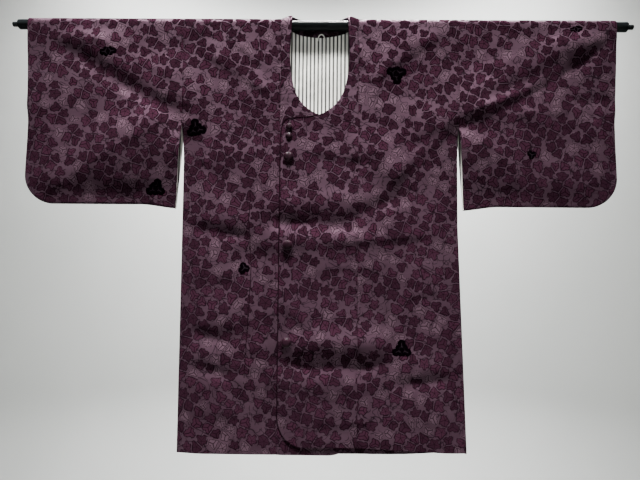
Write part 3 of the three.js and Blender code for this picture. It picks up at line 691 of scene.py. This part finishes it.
def grid_object(name, patches, materials, thickness=1.4, weld=0.03, facing=None):
    """A thin shell from patches of points, lengths across and down the cloth, flip, and the faces that take
    the third material, painted shade.

    facing says, from a face's place on the cloth, whether its inner side is faced with the outer cloth."""
    bm = bmesh.new()
    layer = bm.loops.layers.uv.new("Cloth")
    for points, cloth, flip, *shaded in patches:
        rows, columns = points.shape[:2]
        verts = [bm.verts.new(p) for p in (points.reshape(-1, 3) * MM).tolist()]
        uvs = (cloth.reshape(-1, 2) * MM).tolist()
        for row in range(rows - 1):
            for column in range(columns - 1):
                a = row * columns + column
                ring = [a, a + columns, a + columns + 1, a + 1]
                if flip:
                    ring.reverse()
                face = bm.faces.new([verts[i] for i in ring])
                # faces marked in the patch get the third material, a near-black painted shade
                if shaded and shaded[0][row, column]:
                    face.material_index = 2
                for loop, i in zip(face.loops, ring):
                    loop[layer].uv = uvs[i]
    bmesh.ops.remove_doubles(bm, verts=bm.verts, dist=weld * MM)
    mesh = bpy.data.meshes.new(name)
    bm.to_mesh(mesh)
    bm.free()
    made = new_object(name, mesh)
    for material in materials:
        mesh.materials.append(material)
    mesh.shade_smooth()
    if thickness:
        solid = made.modifiers.new("wall", "SOLIDIFY")
        solid.thickness = thickness * MM
        solid.offset = -1
        solid.use_rim = True
        solid.material_offset = 1 if len(materials) > 1 else 0
        bpy.context.view_layer.update()
        shell = bpy.data.meshes.new_from_object(made.evaluated_get(bpy.context.evaluated_depsgraph_get()))
        made.modifiers.clear()
        made.data = shell
        shell.shade_smooth()
    if facing is not None:
        places = made.data.uv_layers["Cloth"].data
        for face in made.data.polygons:
            if face.material_index == 1 and facing(*(places[face.loop_start].uv / MM)):
                face.material_index = 0
    return made


def spread(length, step, start=(0.7, 2.2), end=(0.7, 2.2)):
    """Stations from 0 to 1 along a length, about step apart and closer at each border."""
    low, high = (start[-1] if start else 0), length - (end[-1] if end else 0)
    middle = np.linspace(low, high, max(2, round((high - low) / step) + 1))
    first = [0, *start[:-1]] if start else []
    last = [length - e for e in end[:-1][::-1]] + [length] if end else []
    return np.concatenate([first, middle, last]) / length


TURNED_EDGE = tuple(EDGE_RADIUS * (1 - math.cos(math.radians(a))) for a in (25, 42, 58, 74, 90))
STEP = 4.5
ARC = np.linspace(0, OVER_ROD, 10)


def cloth_rows(bottom, end=(0.7, 2.2)):
    """Lengths down the cloth: over the rod, then down to the hem."""
    return np.concatenate([ARC[:-1], OVER_ROD + bottom * spread(bottom, STEP, (), end)])


# Where each piece lies in the woven pattern: across and down, in millimetres
IN_PATTERN = {
    "right_body": (137.0, 911.0), "left_body": (551.0, 390.0), "right_band": (760.0, 205.0),
    "left_band": (1290.0, 640.0), "right_sleeve": (1900.0, 77.0), "left_sleeve": (2700.0, 508.0),
    "collar": (333.0, 1444.0), "lining": (137.0, 911.0),
}
TURNED_HEM = 22
TURNED_CUFF = 20
BESIDE_BAND = BAND_X + 2
BAND_SLANT = 335


def body_half(sign):
    """Front and back of one side, in one piece over the shoulder."""
    h = SIDES[sign]
    over = sign > 0
    share = spread(h["armhole"] - BESIDE_BAND, STEP, (), TURNED_EDGE)
    shift = np.array(IN_PATTERN[h["name"] + "_body"])
    patches = []
    for side in (FRONT, BACK):
        rows = cloth_rows(LENGTH)
        down = np.maximum(0, rows - OVER_ROD)
        wide = BESIDE_BAND + share[None, :] * (side_seam(sign, down)[:, None] - BESIDE_BAND)
        if side == FRONT:
            near = np.array([BAND_X, BAND_X + 0.7])
        else:
            near = BAND_X * spread(BAND_X, STEP, (0.7, 2.2), ())
        x = np.concatenate([np.repeat(near[None, :], len(rows), 0), wide], 1)
        if sign < 0 and side == FRONT:
            x = denser_at_tuck(x)
        if side == FRONT:
            inner_hem, outer_hem = h["front_hem"]
            hems = inner_hem + (outer_hem - inner_hem) * np.clip((x - BAND_X) / FRONT_WIDTH, 0, 1)
            start = 0.0
        else:
            middle, outer = BACK_HEM["middle"], BACK_HEM["side"]
            hems = middle + (outer - middle) * smooth(x, *BACK_HEM_RISE)
            seam = curve(COLLAR_SEAM, 1, x)
            start = np.where(seam > 0, seam + SEAM_GAP / 2, 0.0)
        q = start + rows[:, None] / (OVER_ROD + LENGTH) * (OVER_ROD + hems - start)
        world = sign * x

        def seams(px, pdown, seam_x=BAND_X if side == FRONT else 0):
            return sewn_line(np.abs(np.abs(px) - seam_x), pdown)

        points = surface("body", side, world, q, seams, over and side == FRONT)
        cloth = np.stack([world, side * q], -1)
        # faces along the tuck line get the painted shade material: a dark line standing in for the crease's
        # shadow
        shaded = np.zeros((len(rows) - 1, x.shape[1] - 1), bool)
        if side == FRONT and sign < 0:
            signed, along = beside(TUCK["points"], world, np.maximum(0, q - OVER_ROD))
            taken = TUCK["taken"] * smooth(signed, -1.5, 1.5)
            taken = taken * between(along, 0, 0.15, 0.85, 1)
            cloth[..., 0] += taken * (1 - smooth(np.abs(signed), 20, 55))
            middle = (signed[:-1, :-1] + signed[1:, 1:]) / 2
            shaded = (np.abs(middle) < TUCK["shaded"]) & (along[:-1, :-1] > 0.02) & (along[:-1, :-1] < 0.98)
        cloth += shift
        patches.append((points, cloth, (side == FRONT) != (sign > 0), shaded))

    made = grid_object(
        h["name"] + "_body_cloth", patches, [SILK, LINING_SILK, PAINTED_SHADE_SILK],
        facing=lambda u, v: abs(v - shift[1]) > OVER_ROD + LENGTH - TURNED_HEM,
    )
    nodes = [h["name"] + "_front", h["name"] + "_back"]
    return dress(made, nodes)


def denser_at_tuck(x):
    """More columns beside the under front's crease, the same in every row."""
    add = np.arange(TUCK["near"], TUCK["far"], 1.5)
    keep = (x[0] < TUCK["near"] - 3) | (x[0] > TUCK["far"] + 3)
    return np.stack([np.sort(np.concatenate([row[keep], add])) for row in x])


def dress(made, nodes):
    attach(made, "root")
    if nodes:
        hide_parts(*nodes)
    return made


def front_band(sign):
    """The band beside a front, from the shoulder to the hem, with the neck and front edges."""
    h = SIDES[sign]
    over = sign > 0
    hem = h["front_hem"][0]
    points = [(PEAK_X, 0), *[(x, OVER_ROD + down) for x, down in NECK_EDGE], (-BAND_X, OVER_ROD + hem)]
    knots = np.array(points, float)
    passed = np.concatenate([[0], np.cumsum(np.hypot(*np.diff(knots, axis=0).T))])
    table = np.column_stack([passed, knots])
    # the rows slant beside the neck: where each starts at the seam, and the point that it reaches
    slanted = OVER_ROD + BAND_SLANT
    matches = [(0, 0), (OVER_ROD, 1), (OVER_ROD + 131, 3.5), (slanted, 12), (OVER_ROD + hem, 13)]
    at_seam, reached = np.array(matches).T
    at_edge = np.interp(reached, np.arange(len(passed)), passed)
    rows = np.concatenate([
        ARC[:-1],
        np.linspace(OVER_ROD, slanted, round(BAND_SLANT / STEP * 1.15))[:-1],
        slanted + (hem - BAND_SLANT) * spread(hem - BAND_SLANT, STEP, ()),
    ])
    t = np.interp(rows, at_seam, at_edge)
    edge_x, edge_q = curve(table, 1, t), curve(table, 2, t)
    columns = spread(2 * BAND_X, STEP, (0.7, 2.2), (0.5, 1.2, 2.4))
    x = BAND_X + (edge_x[:, None] - BAND_X) * columns
    q = rows[:, None] + (edge_q - rows)[:, None] * columns
    across, down = round_corner(-x, q - OVER_ROD, BAND_X, hem, BAND_CORNER_RADIUS)
    x, q = -across, OVER_ROD + down
    world = sign * x

    def seams(px, pdown):
        return sewn_line(np.abs(sign * px - BAND_X), pdown)

    points = surface("body", FRONT, world, q, seams, over)
    # the free edge rolls in a little, and out where the neck turns across the under front
    roll = 0.8 * bell((1 - columns) * 2 * BAND_X, 2.0)
    lip = 1 - 2.6 * bell(q - OVER_ROD - 216, 16) * over
    points[..., 1] += roll[None, :] * lip * smooth(q, 30, 90)
    cloth = np.stack([world, -q], -1) + np.array(IN_PATTERN[h["name"] + "_band"])
    # the last two columns along the free edge, and below the neck one more, get the painted shade material:
    # a dark strip standing in for the shadow under the turned edge
    shaded = np.zeros((len(rows) - 1, len(columns) - 1), bool)
    shaded[:, -2:] = True
    shaded[:, -3] = q[:-1, -1] > OVER_ROD + 190
    made = grid_object(
        h["name"] + "_front_band_cloth", [(points, cloth, sign < 0, shaded)], [SILK, SILK, PAINTED_SHADE_SILK],
    )
    return dress(made, [h["name"] + "_front_band"])


def sleeve(sign):
    h = SIDES[sign]
    width = h["cuff"] - h["armhole"]
    columns = spread(width, STEP, (0.7, 2.2), TURNED_EDGE)
    bottom = SLEEVE_BOTTOM["cuff"]
    rows = cloth_rows(bottom, TURNED_EDGE)
    patches = []
    shift = np.array(IN_PATTERN[h["name"] + "_sleeve"])
    for side in (FRONT, BACK):
        level = np.maximum(0, rows - OVER_ROD)
        inner, outer = sleeve_inner(sign, level), cuff_edge(sign, level)
        across = inner[:, None] + (outer - inner)[:, None] * columns
        level = np.repeat(level[:, None], len(columns), 1)
        placed_x, placed_down = round_corner(across, level, outer[:, None], bottom, SLEEVE_CORNER_RADIUS)
        drop = sleeve_bottom(sign, across) / bottom
        q = np.where(rows[:, None] < OVER_ROD, rows[:, None], OVER_ROD + placed_down * drop)
        world = sign * placed_x
        points = surface("sleeve", side, world, q)
        cloth = np.stack([world, side * q], -1) + shift
        patches.append((points, cloth, (side == FRONT) != (sign > 0)))
    cuff = sign * h["cuff"] + shift[0]
    made = grid_object(
        h["name"] + "_sleeve_cloth", patches, [SILK, LINING_SILK],
        facing=lambda u, v: abs(u - cuff) < TURNED_CUFF,
    )
    nodes = [h["name"] + "_sleeve_front", h["name"] + "_sleeve_back"]
    return dress(made, nodes)


def both_sides(half, step, border):
    """Stations from -half to half, closer at the two borders."""
    left, right = spread(half, step, border, ()), spread(half, step, (), border)
    return np.concatenate([-half + half * left, (half * right)[1:]])


def back_collar():
    x = both_sides(COLLAR_HALF_WIDTH, 2.4, (0.6, 1.6))
    share = np.concatenate([[0, 0.015, 0.045], np.linspace(0.09, 0.97, 12), [1.0]])
    seam = curve(COLLAR_SEAM, 1, np.abs(x)) - SEAM_GAP / 2
    q = share[:, None] * seam
    world = np.repeat(x[None, :], len(share), 0)
    points = surface("body", BACK, world, q)
    cloth = np.stack([world, q], -1) + np.array(IN_PATTERN["collar"])
    made = grid_object("back_collar_cloth", [(points, cloth, True)], [SILK, SILK], thickness=2.0)
    return dress(made, ["back_collar"])


def back_lining():
    x = both_sides(LINING["half_width"], STEP / 2, (0.7, 2.2))
    share = np.concatenate([[0, 0.002, 0.006], np.linspace(0.012, 1, 70)])
    top = np.maximum(curve(COLLAR_SEAM, 1, np.abs(x)) + SEAM_GAP, OVER_ROD + LINING["top"] - 4)
    bottom = OVER_ROD + LINING["bottom"]
    q = top + share[:, None] * (bottom - top)
    world = np.repeat(x[None, :], len(share), 0)

    def inset(px, pdown):
        from_top = np.maximum(0, pdown + OVER_ROD - (curve(COLLAR_SEAM, 1, np.abs(px)) + SEAM_GAP))
        gathers = 0.5 * np.sin(px * 0.62 + np.sin(px * 0.11)) * bell(from_top, 14)
        roll = -0.5 * bell(from_top, 1.6)
        return -2.4 + gathers + roll

    points = surface("body", BACK, world, q, inset)
    cloth = np.stack([world, q], -1) + np.array(IN_PATTERN["lining"])
    made = grid_object("back_lining_cloth", [(points, cloth, False)], [LINING_SILK], thickness=-0.8)
    return dress(made, ["back_lining"])


def tube_along(path, radius, sides, swell):
    """Rings of points round a path, with a twist of two strands."""
    tangent = unit(np.gradient(path, axis=0))
    first = unit(np.array([0.0, 1.0, 0.0]) - tangent * tangent[:, 1:2])
    second = np.cross(tangent, first)
    angle = np.linspace(0, 2 * math.pi, sides + 1)
    passed = np.concatenate([[0], np.cumsum(np.linalg.norm(np.diff(path, axis=0), axis=1))])
    r = radius * (1 + swell * np.cos(2 * (angle[None, :] - passed[:, None] * 1.6)))
    points = path[:, None] + r[..., None] * (
        np.cos(angle)[None, :, None] * first[:, None] + np.sin(angle)[None, :, None] * second[:, None]
    )
    across = np.repeat((angle * radius)[None, :], len(path), 0)
    return points, np.stack([across, np.repeat(passed[:, None], sides + 1, 1)], -1)


def hanging_loop():
    angle = np.linspace(0, math.pi, 60)
    down = LOOP["foot"] - LOOP["height"] * np.sin(angle)
    x = LOOP["x"] - LOOP["half_width"] * np.cos(angle)
    depth = half_depth("body", BACK, x, down) - (WALL + 1 + 2 * SEAM_GAP + LOOP["radius"])
    path = np.stack([x, depth, -down], -1)
    points, cloth = tube_along(path, LOOP["radius"], 20, 0.1)
    made = grid_object("hanging_loop_cord", [(points, cloth, False)], [CORD_WHITE], thickness=0)
    return dress(made, ["hanging_loop"])


def surface_frame(x, down):
    """A point of the left front's face, with its normal and two directions along the cloth."""
    q = OVER_ROD + down
    at = lambda px, pq: surface("body", FRONT, [px], [pq], over=True)[0]
    point = at(x, q)
    right = unit(at(x + 3, q) - at(x - 3, q))
    below = at(x, q + 3) - at(x, q - 3)
    normal = unit(np.cross(below, right))
    if normal[1] > 0:
        normal = -normal
    return point, normal, right, np.cross(normal, right)


def button(name, size, down, seed):
    """A covered button: a domed front, cloth drawn in under the rim, and its stem."""
    rng = np.random.default_rng(seed)
    radius, height = size["radius"], size["height"]
    profile = np.array([
        (0.0, 1.0), (0.12, 0.998), (0.26, 0.985), (0.42, 0.95), (0.58, 0.89), (0.72, 0.8), (0.84, 0.69),
        (0.93, 0.57), (0.985, 0.45), (1.0, 0.36), (0.985, 0.28), (0.93, 0.215), (0.82, 0.18), (0.6, 0.16),
        (0.36, 0.14), (0.3, 0.08), (0.3, -0.04),
    ])
    turn = np.linspace(0, 2 * math.pi, 65)
    out_share, up_share = profile.T[:, :, None]
    r, z = out_share * radius, up_share * height
    phase = rng.uniform(0, 2 * math.pi, 3)
    gathers = sum(np.sin((17 + 5 * i) * turn + p) for i, p in enumerate(phase))[None, :] / 3
    pleated = smooth(out_share, 0.75, 1.0) * (up_share < 0.5)
    r = r * (1 + 0.03 * gathers * pleated)
    dent = 0.03 * height * np.sin(turn + phase[0])[None, :] * out_share
    point, normal, right, up = surface_frame(BUTTON_X, down)
    tilt = rng.uniform(-0.07, 0.07, 2)
    normal = unit(normal + tilt[0] * right + tilt[1] * up)
    out = point + normal * SEAM_GAP * 0.3
    x, y = r * np.cos(turn), r * np.sin(turn)
    points = out + x[..., None] * right + y[..., None] * up + (z + dent)[..., None] * normal
    cloth = np.stack([x, y], -1) + seed * 40.0
    made = grid_object(name + "_covered", [(points, cloth, False)], [BUTTON_SILK], thickness=0)
    return dress(made, [name])


def rod():
    stub, length = ROD_STUB
    end = [  # radius, distance out from the thick rod's end
        (0, length), (stub - 0.8, length), (stub, length - 0.8), (stub, 0.2), (stub + 0.4, 0),
        (ROD_RADIUS - ROD_CHAMFER, 0), (ROD_RADIUS - 0.4, -0.45), (ROD_RADIUS, -ROD_CHAMFER),
    ]
    profile = [(r, ROD_ENDS[0] - out) for r, out in end]
    profile += [(ROD_RADIUS, x) for x in np.linspace(ROD_ENDS[0] + 4, ROD_ENDS[1] - 4, 60)]
    profile += [(r, ROD_ENDS[1] + out) for r, out in reversed(end)]
    r, x = np.array(profile, float).T[:, :, None]
    turn = np.linspace(0, 2 * math.pi, 73)
    x = np.repeat(x, len(turn), 1)
    points = np.stack([x, r * np.sin(turn), r * np.cos(turn)], -1)
    cloth = np.stack([x, r * turn], -1)
    made = grid_object("hanging_rod", [(points, cloth, False)], [GLOSS], thickness=0)
    return dress(made, ["rod"])


# Scattered black leaves, in ones, twos and threes. Columns: piece, side, x, down, leaf size, leaves, turn
MOTIFS = [
    ("sleeve", FRONT, -470, 68, 12.5, 2, 15), ("sleeve", FRONT, -359, 372, 14, 3, 200),
    ("body", FRONT, -272, 240, 14, 3, 100), ("body", FRONT, 169, 114, 14.5, 3, 30),
    ("sleeve", FRONT, 566, 12, 9, 2, 20), ("sleeve", FRONT, 466, 293, 11.5, 1, 140),
    ("body", FRONT, -160, 545, 13, 1, 240), ("body", FRONT, 182, 718, 13, 3, 330),
    ("body", BACK, -190, 180, 14, 3, 20), ("body", BACK, 128, 322, 11, 2, 140),
    ("body", BACK, -96, 566, 14, 3, 250), ("body", BACK, 214, 690, 11, 2, 60),
    ("body", BACK, -232, 836, 12, 1, 330), ("sleeve", BACK, -500, 212, 13, 3, 100),
    ("sleeve", BACK, 452, 118, 10, 2, 190), ("sleeve", BACK, 560, 300, 13, 3, 350),
]


def leaf_outline(angle):
    """A three-lobed leaf's radius at an angle, as a share of its size."""
    lobes = 0.62 + 0.38 * np.abs(np.cos(1.5 * angle)) ** 0.6
    return lobes * (1 + 0.14 * np.cos(angle)) * (1 + 0.03 * np.sin(9 * angle))


def black_leaves():
    rng = np.random.default_rng(12)
    patches = []
    rings = np.array([0.0, 0.1, 0.25, 0.42, 0.6, 0.76, 0.88, 0.96, 1.0])
    angle = np.linspace(0, 2 * math.pi, 49)
    for kind, side, x0, down0, size, count, turn in MOTIFS:
        for i in range(count):
            spin = math.radians(turn) + i * 2 * math.pi / count + rng.uniform(-0.25, 0.25)
            reach = (0, 0.5, 0.54)[count - 1] * size * rng.uniform(0.92, 1.04)
            cx, cd = x0 + reach * math.cos(spin), down0 - reach * math.sin(spin)
            size_i = size * rng.uniform(0.86, 1.04)
            r = rings[:, None] * leaf_outline(angle)[None, :] * size_i
            px, pd = cx + r * np.cos(angle + spin), cd - r * np.sin(angle + spin)
            over = kind == "body" and side == FRONT and x0 > -BAND_X
            ribs = np.abs(np.sin(1.5 * angle))[None, :] * r
            height = 0.34 * (1 - rings[:, None] ** 6) + 0.06
            height = height - 0.12 * bell(ribs, 0.7) * (rings[:, None] < 0.9)
            extra = lambda a, b, lift=height: lift
            points = surface(kind, side, px, OVER_ROD + pd, extra, over)
            patches.append((points, np.stack([r * np.cos(angle), r * np.sin(angle)], -1), side == BACK))
    made = grid_object("black_leaves", patches, [MOTIF_SILK], thickness=0)
    return dress(made, [])


for sign in (-1, 1):
    body_half(sign)
    front_band(sign)
    sleeve(sign)
back_collar()
back_lining()
hanging_loop()
rod()
for kind, size, seed in (("small", SMALL_BUTTON, 1), ("large", LARGE_BUTTON, 5)):
    for index, down in enumerate(size["downs"]):
        button(f"{kind}_button_{index + 1}", size, down, index + seed)
black_leaves()


# ---- floor, light and camera
FLOOR = -2.4


def studio():
    g = Graph("studio_floor")
    shade = g.noise(g.node("TexCoord").outputs["Object"], 1.5, 2.0)
    material = g.finish(g.mix(shade, rgb(174, 176, 174), rgb(184, 185, 183)), 0.9, Specular_IOR_Level=0.2)
    profile = [(0.0, 0.0), (1.0, 0.0), (2.4, 0.0)]
    profile += [(2.4 + 0.9 * math.sin(a), 0.9 - 0.9 * math.cos(a)) for a in np.linspace(0, math.pi / 2, 16)]
    profile += [(3.3, 3.2), (3.3, 5.6)]
    turn = np.linspace(0, 2 * math.pi, 97)
    r, z = np.array(profile).T[:, :, None]
    points = np.stack([r * np.cos(turn), r * np.sin(turn), z + FLOOR + 0 * turn], -1) / MM
    made = grid_object("studio_floor", [(points, points[..., :2], False)], [material], thickness=0)


def area_light(name, place, target, size, energy, angle, color=(1, 1, 1)):
    data = bpy.data.lights.new(name, "AREA")
    data.shape = "RECTANGLE"
    data.size, data.size_y = size
    data.energy = energy
    data.spread = math.radians(angle)
    data.color = color
    made = new_object(name, data)
    made.location = place
    direction = np.array(target, float) - np.array(place, float)
    made.rotation_euler = Vector(direction).to_track_quat("-Z", "Y").to_euler()


studio()
area_light("key", (-0.2, -0.95, 2.95), (0, 0, -1.2), (2.2, 0.35), 61, 26, (1.0, 0.99, 0.97))
area_light("back_key", (0.2, 1.0, 2.95), (0, 0, -1.2), (2.2, 0.35), 54, 26, (1.0, 0.99, 0.97))
area_light("back_wall_light", (0, 1.9, 2.3), (0, 3.4, -0.4), (3.2, 0.8), 280, 90)
area_light("front_wall_light", (0, -1.9, 2.3), (0, -3.4, -0.4), (3.2, 0.8), 75, 90)
world = bpy.data.worlds.new("studio")
world.use_nodes = True
background = world.node_tree.nodes["Background"].inputs
background["Color"].default_value = (0.93, 0.95, 1.0, 1.0)
background["Strength"].default_value = 0.05
bpy.context.scene.world = world

# the photo's view: 1.1 m in front, 0.54 m below the rod and tilted 3 degrees up
camera = bpy.data.cameras.new("camera")
camera.lens = 28.125
camera.sensor_width = 36.0
holder = new_object("camera", camera)
holder.location = (0.013572, -1.098128, -0.540017)
holder.rotation_euler = (math.radians(93.0), math.radians(-0.52), math.radians(0.47))
bpy.context.scene.camera = holder
